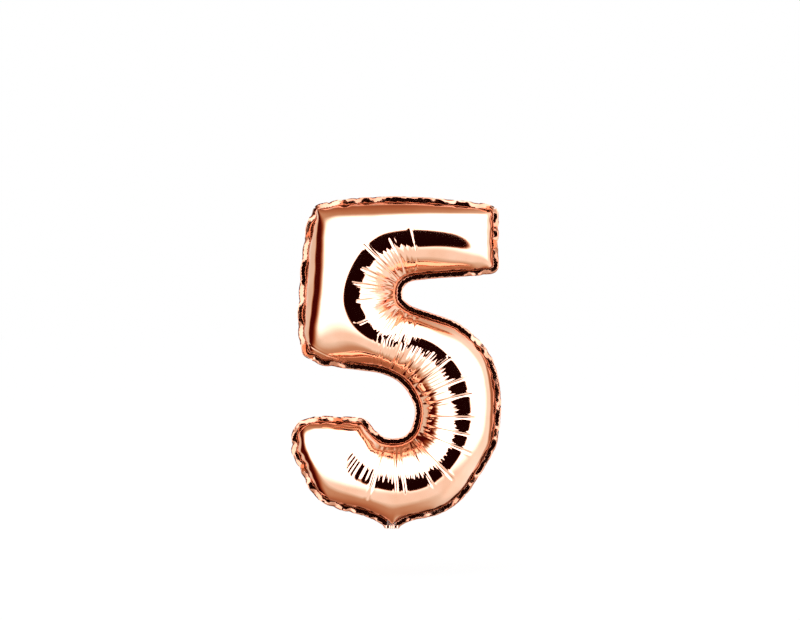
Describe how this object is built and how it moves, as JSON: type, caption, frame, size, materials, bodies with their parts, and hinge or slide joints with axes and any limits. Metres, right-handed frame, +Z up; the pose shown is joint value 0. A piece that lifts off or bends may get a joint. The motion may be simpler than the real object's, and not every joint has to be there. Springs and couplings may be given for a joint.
{
  "type": "foil number balloon",
  "caption": "Inflated foil balloon in the shape of a 5: two domed foil walls in a welded rim, a self-closing film valve, and a filling tail that folds up behind.",
  "frame": {"origin": "under the middle of the balloon, level with the underside of the tail's fold, in the plane where the two foils are welded", "axes": "+Z up the numeral, +X to the right of someone reading it, -Y out of the front foil"},
  "size_m": [0.407, 0.161, 0.6434],
  "materials": {
    "foil": "metallised nylon film, rose gold mirror",
    "foil_rim": "welded double film, crumpled rose gold mirror",
    "foil_tail": "metallised nylon film, rose gold mirror, uninflated",
    "valve_film": "clear blown polyethylene film",
    "release_ink": "printed heat-resistant ink"
  },
  "bodies": {
    "balloon": {"front_foil": "foil", "back_foil": "foil", "seal_margin": "foil_rim", "valve_front_film": "valve_film", "valve_back_film": "valve_film", "valve_release_ink": "release_ink"},
    "tail": {"tail_front_foil": "foil_tail", "tail_back_foil": "foil_tail", "tail_valve_front_film": "valve_film", "tail_valve_back_film": "valve_film"}
  },
  "joints": [
    {"name": "tail_fold", "type": "hinge", "parent": "balloon", "child": "tail", "pos_m": [-0.00846, 0, 0.00037], "axis": [-1, 0, 0], "range_deg": [0, 133.6]}
  ]
}
